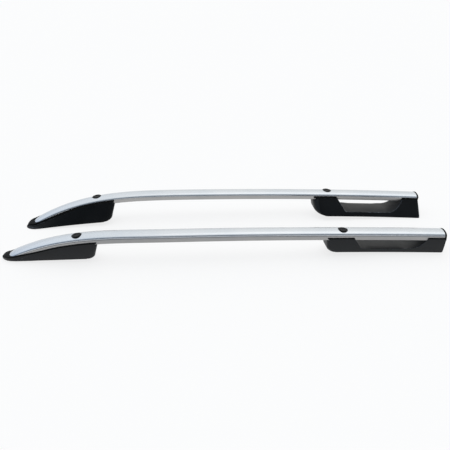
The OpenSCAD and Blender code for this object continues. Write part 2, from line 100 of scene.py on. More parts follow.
def edge_wear_and_highlight():
    """A mask of outside edges: 1 along an edge, broken up by a noise, 0 on the flats. It marks scuffed
    edges, and where it is kept to edges that face up, a painted highlight too.
    """
    tree, enter, leave = new_group(
        "edge_wear_and_highlight",
        [("Reach", "Float", 0.001), ("Breakup", "Float", 120.0)],
        [("Mask", "Float"), ("Normal", "Vector")]
    )
    shape = tree.nodes.new("ShaderNodeNewGeometry")
    coords = tree.nodes.new("ShaderNodeTexCoord")
    soft = tree.nodes.new("ShaderNodeBevel")
    soft.samples = 6
    away = tree.nodes.new("ShaderNodeVectorMath")
    away.operation = "DOT_PRODUCT"
    ramp = add(tree, "ShaderNodeMapRange", From_Min=0.98, From_Max=0.8)
    noise = add(tree, "ShaderNodeTexNoise", Detail=4.0, Roughness=0.7)
    cut = add(tree, "ShaderNodeMapRange", From_Min=0.35, From_Max=0.65)
    both = tree.nodes.new("ShaderNodeMath")
    both.operation = "MULTIPLY"
    tree.links.new(enter.outputs["Reach"], soft.inputs["Radius"])
    tree.links.new(enter.outputs["Breakup"], noise.inputs["Scale"])
    tree.links.new(coords.outputs["Object"], noise.inputs["Vector"])
    tree.links.new(soft.outputs["Normal"], away.inputs[0])
    tree.links.new(shape.outputs["Normal"], away.inputs[1])
    tree.links.new(away.outputs["Value"], ramp.inputs["Value"])
    tree.links.new(noise.outputs["Fac"], cut.inputs["Value"])
    tree.links.new(ramp.outputs["Result"], both.inputs[0])
    tree.links.new(cut.outputs["Result"], both.inputs[1])
    tree.links.new(both.outputs[0], leave.inputs["Mask"])
    tree.links.new(soft.outputs["Normal"], leave.inputs["Normal"])
    return tree


GRAIN = fine_grain()
EDGE_GROUP = edge_wear_and_highlight()


def tint(tree, mask, low, high, onto, start=0.35, stop=0.65):
    """Feeds a socket with a colour between low and high, by a mask."""
    ramp = tree.nodes.new("ShaderNodeValToRGB")
    ramp.color_ramp.elements[0].position = start
    ramp.color_ramp.elements[1].position = stop
    ramp.color_ramp.elements[0].color = (*low, 1.0)
    ramp.color_ramp.elements[1].color = (*high, 1.0)
    tree.links.new(mask, ramp.inputs["Fac"])
    tree.links.new(ramp.outputs["Color"], onto)
    return ramp


def blend_in(tree, base, mask, colour, onto):
    """Lays one more colour over a base colour where the mask says."""
    mix = tree.nodes.new("ShaderNodeMix")
    mix.data_type = "RGBA"
    mix.inputs[7].default_value = (*colour, 1.0)
    tree.links.new(mask, mix.inputs[0])
    tree.links.new(base, mix.inputs[6])
    tree.links.new(mix.outputs[2], onto)


def rough_range(tree, mask, low, high, onto):
    span = add(tree, "ShaderNodeMapRange", From_Min=0.3, From_Max=0.7, To_Min=low, To_Max=high)
    tree.links.new(mask, span.inputs["Value"])
    tree.links.new(span.outputs["Result"], onto)


def raise_up(tree, height, normal, depth, shader):
    bump = add(tree, "ShaderNodeBump", Strength=1.0, Distance=depth)
    tree.links.new(height, bump.inputs["Height"])
    tree.links.new(normal, bump.inputs["Normal"])
    tree.links.new(bump.outputs["Normal"], shader.inputs["Normal"])


def upward(tree, normal, mask):
    """Keeps a mask only where an edge looks upward; the lighter colour there is scuffing and a painted
    highlight, where the light from above catches the edge.
    """
    parts = tree.nodes.new("ShaderNodeSeparateXYZ")
    lift = add(tree, "ShaderNodeMapRange", From_Min=0.1, From_Max=0.6)
    both = tree.nodes.new("ShaderNodeMath")
    both.operation = "MULTIPLY"
    tree.links.new(normal, parts.inputs[0])
    tree.links.new(parts.outputs["Z"], lift.inputs["Value"])
    tree.links.new(lift.outputs["Result"], both.inputs[0])
    tree.links.new(mask, both.inputs[1])
    return both.outputs[0]


def grained(name, low, high, worn_and_lit, size, patches, depth, roughness,
            metallic=0.0, specular=0.3, reach=0.0006):
    """A grained skin with patchy colour, patchy gloss and lighter upward edges: scuffing and a painted
    highlight.
    """
    mat, tree, shader = new_material(name)
    shader.inputs["Metallic"].default_value = metallic
    shader.inputs["Specular IOR Level"].default_value = specular
    grain = place(tree, GRAIN, Size=size, Patches=patches)
    edge_mask = place(tree, EDGE_GROUP, Reach=reach)
    colour = shader.inputs["Base Color"]
    ramp = tint(tree, grain.outputs["Patch"], low, high, colour)
    # The lighter edge colour on upward edges: scuffing and a painted highlight.
    rubbed_and_lit = upward(tree, edge_mask.outputs["Normal"], edge_mask.outputs["Mask"])
    blend_in(tree, ramp.outputs["Color"], rubbed_and_lit, worn_and_lit, colour)
    rough_range(tree, grain.outputs["Patch"], roughness[0], roughness[1], shader.inputs["Roughness"])
    raise_up(tree, grain.outputs["Height"], edge_mask.outputs["Normal"], depth, shader)
    return mat


def dress(names, mat):
    for side in SIDES:
        for name in names:
            node = nodes[f"{side}_{name}"]
            node.data.materials.clear()
            node.data.materials.append(mat)


pad_rubber = grained(
    "pad_rubber", (0.006, 0.006, 0.007), (0.014, 0.014, 0.015), (0.03, 0.03, 0.03),
    700.0, 40.0, 0.00012, (0.7, 0.85)
)


# Brackets, die-cast in light alloy and hidden inside the feet. Each one carries the rail on a post,
# takes a roof bolt from below and holds the cover with one screw.
cast_skin = grained(
    "cast_skin", (0.30, 0.31, 0.32), (0.42, 0.43, 0.45), (0.62, 0.63, 0.65),
    450.0, 60.0, 0.00015, (0.42, 0.6), metallic=1.0, specular=0.5
)
dress(("front_bracket", "mid_bracket", "end_bracket"), cast_skin)


# Rail bolts, their washers and the cover screws: turned or rolled steel, zinc plated,
# with the faint yellow and blue clouds of the plating.
zinc_plate = grained(
    "zinc_plate", (0.40, 0.41, 0.43), (0.58, 0.56, 0.48), (0.70, 0.70, 0.69),
    1500.0, 140.0, 0.00002, (0.24, 0.4), metallic=1.0, specular=0.5
)
dress(("rail_bolts", "bolt_washers", "cover_screws"), zinc_plate)


# Front feet: one moulded black shell each, drawn out to a low nose. Its rim clasps the rail's
# lower edge and closes round the rail's cut tip; the rail lies in the seat between the lips.
RAIL_LEN = 1206.0
GAP = 254.0
SHIFT = 27.0
NOSE = -RAIL_LEN / 2
TAIL = RAIL_LEN / 2
RAIL_HALF = 20.5
CROWN = 7.79
BAND = 15.2
LEAN = 2.5
CHAMFER = 1.2
PEAK = 78.2
PEAK_X = NOSE + 380.0
TAIL_H = 56.0
NOSE_RUN = 394.0
NOSE_DROP = 78.7
TUCK_RUN = 463.0
NOSE_TUCK = 35.3
TAIL_TUCK = 2.5
TAIL_TUCK_X = 150.0
ROOF_RISE = 18.0
ROOF_R = (TAIL ** 2 + ROOF_RISE ** 2) / (2 * ROOF_RISE)
TIP = NOSE + 22.5
TIP_R = RAIL_HALF + LEAN / 2
MITRE = 6.0
RAIL_END = TAIL - 4.0
CAP_PROUD = 0.4
PAD_T = 2.0
SEAT_GAP = 0.3
LIP_T = 2.3
LIP_ROUND = 1.1
RIM_STEP = 0.6
# Height of the rim under the outer and the inner lip, and the least that is left of it.
RIMS = (3.4, 5.6)
RIM_SHARE = 0.4
RIM_LEAST = 0.3
# Where the curve of the inner face is drawn to: share of its reach, share of its height.
FLARE = (0.8, 0.25)
SKIRT = 6.0
# How far the rounding of a free end reaches into its foot, and how high the upward cuts go.
END_RUN = 60.0
OPEN_TOP = 120.0


def roof(x):
    """Height of the car's roof, which arches gently along the rail."""
    return math.sqrt(ROOF_R ** 2 - x * x) - ROOF_R + ROOF_RISE


def crease(x):
    """Height of the edge between the rail's crown and its side bands."""
    bend = max(0.0, NOSE + NOSE_RUN - x) / NOSE_RUN
    return PEAK - (PEAK - TAIL_H) * ((x - PEAK_X) / (TAIL - PEAK_X)) ** 2 - NOSE_DROP * bend ** 3


def line(x):
    """How far the rail's middle line lies to the outer side, seen from above."""
    front = max(0.0, NOSE + TUCK_RUN - x) / TUCK_RUN
    back = max(0.0, x - TAIL_TUCK_X) / (TAIL - TAIL_TUCK_X)
    return -NOSE_TUCK * front ** 2 - TAIL_TUCK * back ** 2


def stations(x0, x1, step):
    """Evenly spaced places from x0 to x1, about a step apart."""
    n = max(1, round((x1 - x0) / step))
    return [x0 + (x1 - x0) * i / n for i in range(n + 1)]


def smooth_by_angle(mesh, degrees):
    work = bmesh.new()
    work.from_mesh(mesh)
    for face in work.faces:
        face.smooth = True
    limit = math.radians(degrees)
    for edge in work.edges:
        edge.smooth = len(edge.link_faces) == 2 and edge.calc_face_angle(0.0) < limit
    work.to_mesh(mesh)
    work.free()


def solid_from(name, points, faces):
    """A closed mesh from points in millimetres along, across and up one rail."""
    mesh = bpy.data.meshes.new(name)
    mesh.from_pydata([Vector(p) / 1000 for p in points], [], faces)
    work = bmesh.new()
    work.from_mesh(mesh)
    bmesh.ops.remove_doubles(work, verts=work.verts, dist=1e-6)
    bmesh.ops.recalc_face_normals(work, faces=work.faces)
    work.to_mesh(mesh)
    work.free()
    return bpy.data.objects.new(name, mesh)


def loft(name, rings, strips=False):
    """A closed skin over rings with the same number of points, the ends flat or in strips."""
    n = len(rings[0])
    last = (len(rings) - 1) * n
    faces = [list(range(n)), [last + n - 1 - j for j in range(n)]]
    if strips:
        pairs = [(j, j + 1, n - 2 - j, n - 1 - j) for j in range(n // 2 - 1)]
        faces = [list(q) for q in pairs] + [[last + j for j in reversed(q)] for q in pairs]
    for i in range(len(rings) - 1):
        for j in range(n):
            k = (j + 1) % n
            faces.append([i * n + j, (i + 1) * n + j, (i + 1) * n + k, i * n + k])
    return solid_from(name, [p for ring in rings for p in ring], faces)


def slab(name, outline, half=120.0):
    """A prism right across a rail, from an outline drawn along and up."""
    return loft(name, [[(x, -half, z) for x, z in outline], [(x, half, z) for x, z in outline]])


def carve(body, *cuts, operation="DIFFERENCE"):
    """Cuts a body with other solids, or crosses it with them, and drops them."""
    bpy.context.collection.objects.link(body)
    for cut in cuts:
        bpy.context.collection.objects.link(cut)
        mod = body.modifiers.new("cut", "BOOLEAN")
        mod.object = cut
        mod.operation = operation
        mod.solver = "MANIFOLD"
    graph = bpy.context.evaluated_depsgraph_get()
    mesh = bpy.data.meshes.new_from_object(body.evaluated_get(graph))
    body.modifiers.clear()
    body.data = mesh
    for cut in cuts:
        bpy.data.objects.remove(cut)
    bpy.context.collection.objects.unlink(body)
    return body


def stand(piece, name, stands_for, mats, angle=32.0, pick=None):
    """Puts a piece made for the right rail on both rails, mirrored for the left one."""
    smooth_by_angle(piece.data, angle)
    piece.data.materials.clear()
    for mat in mats:
        piece.data.materials.append(mat)
    if pick:
        for face in piece.data.polygons:
            face.material_index = pick(*(face.center * 1000))
    for side, sign in zip(SIDES, (-1.0, 1.0)):
        mesh = piece.data.copy()
        mesh.transform(Matrix.Diagonal((1.0, sign, 1.0, 1.0)))
        if sign < 0:
            mesh.flip_normals()
        mesh.transform(Matrix.Translation((sign * SHIFT / 2000, sign * GAP / 2000, 0.0)))
        obj = bpy.data.objects.new(f"{side}_{name}", mesh)
        bpy.context.collection.objects.link(obj)
        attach(obj, "root")
        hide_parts(f"{side}_{stands_for}")
    bpy.data.objects.remove(piece)


def pulled(a, b, c, steps=22):
    """A curve from a to c drawn towards b, without its first point, finer near the start."""
    out = []
    for i in range(1, steps + 1):
        t = (i / steps) ** 1.4
        out.append(tuple((1 - t) ** 2 * p + 2 * t * (1 - t) * q + t * t * r
                         for p, q, r in zip(a, b, c)))
    return out


def arc(cx, cz, r, a0, a1, steps=4):
    """Points on a round about a centre, between two angles in degrees."""
    turns = [math.radians(a0 + (a1 - a0) * i / steps) for i in range(steps + 1)]
    return [(cx + r * math.cos(a), cz + r * math.sin(a)) for a in turns]


def rim_height(lip, base, outer):
    """How far the rim reaches down from a lip: a share of a low side, and no more than RIMS."""
    return min(RIMS[0 if outer else 1], (lip - base) * RIM_SHARE)


def cover_ring(x, base_out, base_in, lip_out, lip_in, z_out, z_in, neck_out, neck_in):
    """A foot's section: upright outer face, flared inner face, on both a rim and a rounded lip."""
    y, base, r = line(x), roof(x), LIP_ROUND
    rim_out = max(RIM_LEAST, rim_height(z_out, base, True))
    rim_in = max(RIM_LEAST, rim_height(z_in, base, False))
    face_out, face_in = lip_out - RIM_STEP - neck_out, RIM_STEP + neck_in - lip_in
    side = [(base_out, base - SKIRT), (base_out, base)]
    side += pulled((base_out, base), (face_out, (base + z_out) / 2), (face_out, z_out - rim_out - RIM_STEP))
    side += [(lip_out, z_out - rim_out), (lip_out, z_out - r)]
    side += arc(lip_out - r, z_out - r, r, 0, 90)[1:] + [(r - lip_in, z_in)]
    side += arc(r - lip_in, z_in - r, r, 90, 180)[1:] + [(-lip_in, z_in - rim_in)]
    flare = (-lip_in - (base_in - lip_in) * FLARE[0], base + (z_in - base) * FLARE[1])
    side += pulled((-base_in, base), flare, (face_in, z_in - rim_in - RIM_STEP))[::-1]
    side += [(-base_in, base), (-base_in, base - SKIRT)]
    return [(x, y + a, b) for a, b in side]


def eased(u, run, depth):
    """How far a rounded end pulls a side in, at u behind the end."""
    return depth * (1 - math.sqrt(1 - (1 - min(1.0, u / run)) ** 2))


def leaning(ring_at, x, u, edge):
    """A ring whose points follow a leaning, round-cornered end, which fades out over END_RUN."""
    share = 1 - u / END_RUN
    return [ring_at(x + edge(z) * share)[j] for j, (_, _, z) in enumerate(ring_at(x))]


FRONT_LEN = 259.5
FRONT_END = NOSE + FRONT_LEN
BASE_OUT = 18.7
BASE_TOE = 3.4
BASE_SKEW = 7.0
SWELL, SWELL_X, SWELL_RUN = 1.5, NOSE + 47.0, 55.0
FRONT_IN = 41.0
FRONT_SLANT = 9.0
FRONT_CORNER = (14.0, 17.0)
FRONT_BASE_X = FRONT_END - 32.0
CORNER_UNDER = 0.6
LIP_BACK = 1.2
LIP_SKEW = 5.0
COVER_WALL = 3.0
NOSE_ROUND = 42.0
NOSE_BACK = 2.2
# For the outer and the inner lip: depth under the crease, rise at the tip, sag behind it.
FRONT_LIPS = ((8.9, 5.2, 0.0), (1.7, 3.2, 3.3))
LIP_RISE_RUN = 96.0
LIP_SAG_RUN = 130.0
# Run and depth of the roundings at the free end, seen from above.
FRONT_EASE = {"lips": (5.0, 5.0), "neck": (9.0, 8.0), "base_out": (13.0, 9.0), "base_in": (22.0, 18.0)}


def dome(x, run):
    """How wide the nose has grown at x, from 0 to 1, when it is full at run behind the nose."""
    t = min(1.0, max(0.002, (x - NOSE - NOSE_BACK) / (run - NOSE_BACK)))
    return math.sqrt(1 - (1 - t) ** 2)


def about(half, k, skew):
    """A half width that closes, with k from 1 to 0, on a point off the middle line."""
    return half * k - skew * (1 - k)


def lip_half(depth, outer):
    return RAIL_HALF + (LEAN if outer else -LEAN) * depth / BAND + SEAT_GAP + LIP_T


def front_lip(x, outer):
    """Height of a lip, which rises round the rail's tip and sinks to the roof at the nose."""
    depth, rise, sag = FRONT_LIPS[0 if outer else 1]
    at = max(x, TIP)
    q = min(1.0, (at - TIP) / LIP_RISE_RUN)
    low = sag * math.sin(math.pi * min(1.0, (at - TIP) / LIP_SAG_RUN))
    z = crease(at) - depth * math.sin(math.pi / 2 * q) - low + rise * (1 - q) ** 2
    return z if x >= TIP else roof(x) + (z - roof(x)) * dome(x, TIP - NOSE)


def seat_top(x):
    return crease(x) - BAND - SEAT_GAP - 3.0


def front_ring(x, t=0.0, lips=True, u=99.0):
    """The front foot's section at x, u from its free end and shrunk by t."""
    kb, kr = dome(x, NOSE_ROUND), dome(x, TIP - NOSE + TIP_R)
    toe = BASE_TOE * (2 * (FRONT_END - x) / FRONT_LEN - 1)
    swell = SWELL * max(0.0, 1 - ((x - SWELL_X) / SWELL_RUN) ** 2)
    ease = {name: eased(u, *size) for name, size in FRONT_EASE.items()}
    side, far, neck = t + ease["lips"], t + ease["base_in"], ease["neck"] - ease["lips"]
    return cover_ring(
        x,
        about(BASE_OUT + toe + swell - ease["base_out"] - t, kb, BASE_SKEW),
        about(FRONT_IN - toe - far, kb, -BASE_SKEW),
        about(lip_half(FRONT_LIPS[0][0], True) - side, kr, LIP_SKEW),
        about(lip_half(FRONT_LIPS[1][0], False) - side, kr, -LIP_SKEW),
        front_lip(x, True) if lips else seat_top(x),
        front_lip(x, False) if lips else seat_top(x),
        neck, neck,
    )


def free_edge(z, top, slant, corner, base):
    """How far a foot's free edge lies back from its end at height z: slant, corner, eased top."""
    height, depth = corner
    low = base + height
    if z > top:
        return min(LIP_BACK, z - top)
    if z > low:
        return slant * (top - z) / (top - low)
    return slant + depth * (1 - math.sqrt(max(0.0, 1 - ((low - z) / height) ** 2)))


def front_edge(z):
    base = roof(FRONT_BASE_X) + PAD_T - CORNER_UNDER
    return -free_edge(z, crease(FRONT_END) - BAND, FRONT_SLANT, FRONT_CORNER, base)


def front_rear_rings():
    """Rings of the last stretch of the front foot, which end on its leaning rear edge."""
    even = [END_RUN - 3.0 * i for i in range(1, 15)]
    fine = [16.0 * (1 - math.sin(math.pi / 2 * i / 12)) for i in range(13)]
    return [leaning(lambda x: front_ring(x, u=u), FRONT_END - u, u, front_edge) for u in even + fine]


def seat(x0, x1, step=4.0):
    """The room that the rail takes in a foot, open upwards, with the round tip in front."""
    xs, rings = [], []
    if x0 < TIP:
        xs = [TIP - SEAT_GAP + (TIP_R + SEAT_GAP) * (1 - math.cos(math.pi / 2 * i / 16))
              for i in range(1, 17)]
    x = xs[-1] if xs else x0
    xs = xs or [x0]
    while x < x1:
        x = min(x1, x + step)
        xs.append(x)
    for x in xs:
        g = SEAT_GAP + (CAP_PROUD if x > RAIL_END - 1 else 0.0)
        t = min(1.0, (x - TIP + SEAT_GAP) / (TIP_R + SEAT_GAP))
        k = math.sqrt(max(0.0, 1 - (1 - t) ** 2))
        half, aside = (RAIL_HALF + g) * k, LEAN / 2 * (1 - k)
        low = max(crease(x) - BAND - g, roof(x) + MITRE - g)
        y, z = line(x), crease(x)
        lean = LEAN * (z - low) / BAND
        c = CHAMFER * k
        brow = max(z, low + c + 0.2)
        rings.append([
            (x, y + aside + half, OPEN_TOP), (x, y + aside + half, brow),
            (x, y + max(lean, aside) + half, low + c), (x, y + max(lean, aside) + half - c, low),
            (x, y + lean * k + aside - half + c, low), (x, y + lean * k + aside - half, low + c),
            (x, y + aside - half, brow), (x, y + aside - half, OPEN_TOP),
        ])
    return loft("seat", rings)


def roof_slab(lift):
    """Everything under the roof line, raised by the thickness of the pad."""
    reach, low = 640.0, -60.0
    top = [(x, roof(x) + lift) for x in stations(-reach, reach, 20.0)]
    return slab("under", [(-reach, low)] + top + [(reach, low)])


# The outer black of the feet. Its pale blue-grey edge colour, kept to edges that face up, is a painted
# highlight where light catches the edges.
moulded_black = grained(
    "moulded_black", (0.0048, 0.0060, 0.0076), (0.0080, 0.0099, 0.0122), (0.20, 0.235, 0.28),
    1100.0, 18.0, 0.00006, (0.40, 0.50), specular=0.28, reach=0.0016
)

# The inner faces of the feet get a duller, darker copy of the black; the darker colour is painted shade, as
# these faces turn away from the light. Its bright blue-grey edge colour, on edges that face up, is a
# painted highlight along the window's edges.
inner_shaded_black = grained(
    "inner_shaded_black", (0.0032, 0.0042, 0.0052), (0.0056, 0.0070, 0.0084), (0.42, 0.49, 0.58),
    1100.0, 18.0, 0.00006, (0.46, 0.56), specular=0.14, reach=0.0028
)

# The rim is left matt and darker where it meets the rail, so that it reads as a dark line: the darker
# colour is painted shade of the gap under the rail. The end caps use the same black.
rim_shade_and_cap_black = grained(
    "rim_shade_and_cap_black", (0.004, 0.0044, 0.005), (0.006, 0.0065, 0.007), (0.02, 0.021, 0.023),
    1100.0, 18.0, 0.00004, (0.55, 0.65), specular=0.08
)


FRONT_INSIDE = 22.5
LOW_NOSE = 4.0


def front_face(x, y, z):
    """The skin of a face: 0 outside, 1 the rim with its painted shade, 2 the inner side with its painted
    shade.
    """
    outer = y > line(x)
    side = 2 if y < line(x) - FRONT_INSIDE else 0
    lip = front_lip(x, outer)
    in_rim = z >= roof(x) + LOW_NOSE and z > lip - rim_height(lip, roof(x), outer)
    return 1 if in_rim else side


nose_run = NOSE_ROUND - NOSE_BACK
nose_xs = [NOSE + NOSE_BACK + nose_run * (1 - math.cos(math.pi / 2 * i / 18)) for i in range(1, 19)]
front_xs = nose_xs + stations(NOSE + NOSE_ROUND, FRONT_END - END_RUN, 3.5)[1:]
front_shell = loft("front_shell", [front_ring(x) for x in front_xs] + front_rear_rings(), strips=True)

ROOM_START = NOSE + 62.0
ROOM_STEPS = [0.5, 2.0, 4.0, 8.0, 12.0, 16.0, 22.0, 30.0, 40.0, 50.0]
room_rings = [front_ring(x, COVER_WALL, False) for x in stations(ROOM_START, FRONT_END - END_RUN, 7.0)]
for u in reversed(ROOM_STEPS):
    at = FRONT_END - u - COVER_WALL
    room_rings.append(leaning(lambda x: front_ring(x, COVER_WALL, False, u), at, u, front_edge))
front_room = loft("front_room", room_rings, strips=True)
front_shell = carve(front_shell, front_room, seat(NOSE, RAIL_END), roof_slab(PAD_T))
cover_skins = [moulded_black, rim_shade_and_cap_black, inner_shaded_black]
stand(front_shell, "front_cover", "front_foot", cover_skins, pick=front_face)

PAD_INSET = 1.5


def trimmed_pad(name, outline, back):
    """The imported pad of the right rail, trimmed to lie inside the foot's rounded outline."""
    mesh = nodes[f"right_{name}"].data.copy()
    mesh.transform(nodes[f"right_{name}"].matrix_world)
    mesh.transform(Matrix.Translation((-SHIFT / 2000, -GAP / 2000, 0.0)))
    work = bmesh.new()
    work.from_mesh(mesh)
    bmesh.ops.remove_doubles(work, verts=work.verts, dist=2e-6)
    bmesh.ops.dissolve_degenerate(work, edges=work.edges, dist=1e-6)
    work.to_mesh(mesh)
    work.free()
    outer = [(x + back, line(x) + out - PAD_INSET) for x, out, _ in outline]
    inner = [(x + back, line(x) - into + PAD_INSET) for x, _, into in outline]
    ring = outer + inner[::-1]
    area = loft("pad_area", [[(x, y, -60.0) for x, y in ring], [(x, y, 60.0) for x, y in ring]])
    return carve(bpy.data.objects.new(name, mesh), area, operation="INTERSECT")


def base_half(ring):
    """Where a ring stands, and how far its base reaches out and in."""
    x, y = ring[0][0], line(ring[0][0])
    return x, ring[0][1] - y, y - ring[-1][1]


front_base = [base_half(front_ring(x)) for x in front_xs] + [base_half(r) for r in front_rear_rings()]
front_pad = trimmed_pad("front_gasket", front_base, -1.0)
stand(front_pad, "front_pad", "front_gasket", [pad_rubber])


# Rear feet: a longer moulded black shell on two legs. A through window under the rail leaves a
# floor that falls gently to the outer side and sweeps up in a round ramp at the back.
REAR_END = TAIL - 2.0
REAR_LEN = 344.5
REAR_START = REAR_END - REAR_LEN
REAR_LIP = (8.5, 4.2)
LIP_TAPER = 1.7
REAR_IN = 56.0
REAR_SLANT = 3.5
REAR_CORNER = (18.0, 20.0)
REAR_BASE_X = REAR_START + 28.0
REAR_NOSE = 5.5
REAR_EASE = {"lips": (3.0, 3.0), "neck_out": (9.0, 8.0), "neck_in": (22.0, 19.0),
             "base_out": (15.0, 12.0), "base_in": (34.0, 34.0)}
WIN_X = REAR_START + 86.0
WIN_SLANT = 19.0
WIN_FLOOR_X = WIN_X + WIN_SLANT
WIN_RAMP_X = REAR_END - 104.0
WIN_RAMP = 58.0
RAMP_END = 65.0
FLOOR_H = 13.0
WIN_CORNER = 6.0
# The fall of the window floor: how deep, where it starts across the rail, and over what width.
FALL = 2.2
FALL_FROM, FALL_WIDTH = -4.0, 26.0
FALL_STEPS = 24


def rear_lip(x, outer):
    return crease(x) - REAR_LIP[0 if outer else 1] + LIP_TAPER * (x - REAR_START) / REAR_LEN


def rear_ring(x, t=0.0, lips=True, u=99.0):
    """The rear foot's section at x, u from its free end and shrunk by t."""
    ease = {name: eased(u, *size) for name, size in REAR_EASE.items()}
    side, far = t + ease["lips"], t + ease["base_in"]
    return cover_ring(
        x,
        BASE_OUT - t - ease["base_out"],
        REAR_IN - far,
        lip_half(REAR_LIP[0], True) - side,
        lip_half(REAR_LIP[1], False) - side,
        rear_lip(x, True) if lips else seat_top(x),
        rear_lip(x, False) if lips else seat_top(x),
        ease["neck_out"] - ease["lips"], ease["neck_in"] - ease["lips"],
    )


def rear_edge(z):
    base = roof(REAR_BASE_X) + PAD_T - CORNER_UNDER
    return REAR_NOSE + free_edge(z, crease(REAR_START) - BAND, REAR_SLANT, REAR_CORNER, base)


def rear_front_rings(t=0.0, lips=True, us=None):
    """Rings of the first stretch of the rear foot, which start on its leaning front edge."""
    fine = [14.0 * (1 - math.cos(math.pi / 2 * i / 12)) for i in range(13)]
    us = us or fine + [14.0 + 3.0 * i for i in range(1, 15)]
    return [leaning(lambda x: rear_ring(x, t, lips, u), REAR_START + t + u, u, rear_edge) for u in us]


def window_side(t):
    """Side view of the window, grown by t."""
    z1, z2 = roof(WIN_FLOOR_X) + FLOOR_H, roof(WIN_RAMP_X) + FLOOR_H
    lean = WIN_SLANT / (crease(WIN_X) - BAND - z1)
    tilt = math.atan(lean)
    cx = WIN_FLOOR_X + WIN_CORNER * (1 - math.sin(tilt)) / math.cos(tilt)
    corner = arc(cx, z1 + WIN_CORNER, WIN_CORNER + t, 180 + math.degrees(tilt), 270, 10)
    ramp = arc(WIN_RAMP_X, z2 + WIN_RAMP, WIN_RAMP + t, -90, RAMP_END - 90, 28)
    top = (corner[0][0] - (OPEN_TOP - corner[0][1]) * lean, OPEN_TOP)
    return [top] + corner + ramp + [(ramp[-1][0], OPEN_TOP)]


def floor_fall(t):
    """What is taken off the window floor so that it falls to the outer side, grown by t."""
    rings = []
    for i in range(FALL_STEPS + 1):
        x = WIN_FLOOR_X + 2 + (WIN_RAMP_X - 3 - WIN_FLOOR_X) * i / FALL_STEPS
        y, z = line(x), roof(x) + FLOOR_H
        fade = min(1.0, i / 6, (FALL_STEPS - i) / 6)
        deep = FALL * fade * fade * (3 - 2 * fade)
        dip = [(FALL_FROM + FALL_WIDTH * k / 12, z + 0.3 - t - deep * (k / 12) ** 2) for k in range(13)]
        profile = [(FALL_FROM, z + 9)] + dip + [(30, dip[-1][1]), (30, z + 9)]
        rings.append([(x, y + a, b) for a, b in profile])
    return loft("floor_fall", rings)


REAR_INSIDE = 20.5
REAR_ROUND = 18.0
REAR_LEGS = 25.0


def rear_face(x, y, z):
    """The skin of a face: 0 outside and on the rounded end, 1 the rim with its painted shade, 2 the inner
    side with its painted shade.
    """
    back = rear_edge(z)
    past_round = x - REAR_START - back > REAR_ROUND * (1 - back / END_RUN)
    side = 2 if y < line(x) - REAR_INSIDE and past_round else 0
    outer = y > line(x)
    lip = rear_lip(x, outer)
    in_rim = z >= roof(x) + REAR_LEGS and z > lip - rim_height(lip, roof(x), outer)
    return 1 if in_rim else side


room_end = stations(REAR_START + END_RUN + COVER_WALL, REAR_END - COVER_WALL, 8.0)
rear_room = loft(
    "rear_room",
    rear_front_rings(COVER_WALL, False, ROOM_STEPS) + [rear_ring(x, COVER_WALL, False) for x in room_end],
    strips=True,
)
rear_room = carve(rear_room, slab("room_window", window_side(COVER_WALL)), floor_fall(COVER_WALL))
rear_xs = stations(REAR_START + END_RUN, REAR_END, 4.0)
rear_shell = loft("rear_shell", rear_front_rings() + [rear_ring(x) for x in rear_xs], strips=True)
rear_shell = carve(
    rear_shell, rear_room, slab("window", window_side(0.0)), floor_fall(0.0),
    seat(REAR_START - 10, TAIL + 5), roof_slab(PAD_T)
)
stand(rear_shell, "rear_cover", "rear_foot", cover_skins, pick=rear_face)

rear_base = [base_half(r) for r in rear_front_rings()] + [base_half(rear_ring(x)) for x in rear_xs]
rear_pad = trimmed_pad("rear_gasket", rear_base, 1.0)
stand(rear_pad, "rear_pad", "rear_gasket", [pad_rubber])


# Rails: hollow D sections in light alloy, stretch-bent, cut to a round mitred tip, then satin
# anodised. A fine draw line is sunk under both creases and coloured darker: painted shade of the
# crease. The side bands are coloured darker than the crown: painted shade of the sides, which turn away
# from the light above.
RAIL_WALL = 2.4
SPOT_DEPTH = 1.6
PLUG_R = 13.2
PLUG_GAP = 0.2
PLUG_OUT = 3.0
FRONT_BOLT = FRONT_END - 53.0
REAR_BOLT = REAR_START + 52.0


def drawn_metal(name, low, high, roughness):
    """Anodised alloy with long draw lines, small pores and hand-sized cloudy patches."""
    mat, tree, shader = new_material(name)
    shader.inputs["Metallic"].default_value = 1.0
    coords = tree.nodes.new("ShaderNodeTexCoord")
    stretch = tree.nodes.new("ShaderNodeMapping")
    stretch.inputs["Scale"].default_value = (7.0, 1500.0, 1500.0)
    streak = add(tree, "ShaderNodeTexNoise", Scale=1.0, Detail=5.0, Roughness=0.6)
    grain = place(tree, GRAIN, Size=2600.0, Patches=9.0)
    edge_mask = place(tree, EDGE_GROUP, Reach=0.0008)
    tree.links.new(coords.outputs["Object"], stretch.inputs["Vector"])
    tree.links.new(stretch.outputs["Vector"], streak.inputs["Vector"])
    ramp = tint(tree, grain.outputs["Patch"], low, high, shader.inputs["Base Color"])
    bright = tuple(min(1.0, c * 1.12) for c in high)
    blend_in(tree, ramp.outputs["Color"], edge_mask.outputs["Mask"], bright, shader.inputs["Base Color"])
    rough_range(tree, streak.outputs["Fac"], roughness[0], roughness[1], shader.inputs["Roughness"])
    both = tree.nodes.new("ShaderNodeMath")
    both.operation = "MULTIPLY_ADD"
    both.inputs[1].default_value = 0.25
    tree.links.new(grain.outputs["Height"], both.inputs[0])
    tree.links.new(streak.outputs["Fac"], both.inputs[2])
    raise_up(tree, both.outputs[0], edge_mask.outputs["Normal"], 0.000012, shader)
    return mat


crown_satin = drawn_metal("crown_satin", (0.575, 0.61, 0.65), (0.625, 0.65, 0.68), (0.22, 0.32))
# Darker copies of the crown's colour: painted shade in the crease and on the side bands.
crease_shade_satin = drawn_metal("crease_shade_satin", (0.35, 0.36, 0.38), (0.41, 0.42, 0.44), (0.34, 0.44))
band_shade_satin = drawn_metal("band_shade_satin", (0.385, 0.385, 0.385), (0.43, 0.425, 0.42), (0.32, 0.42))

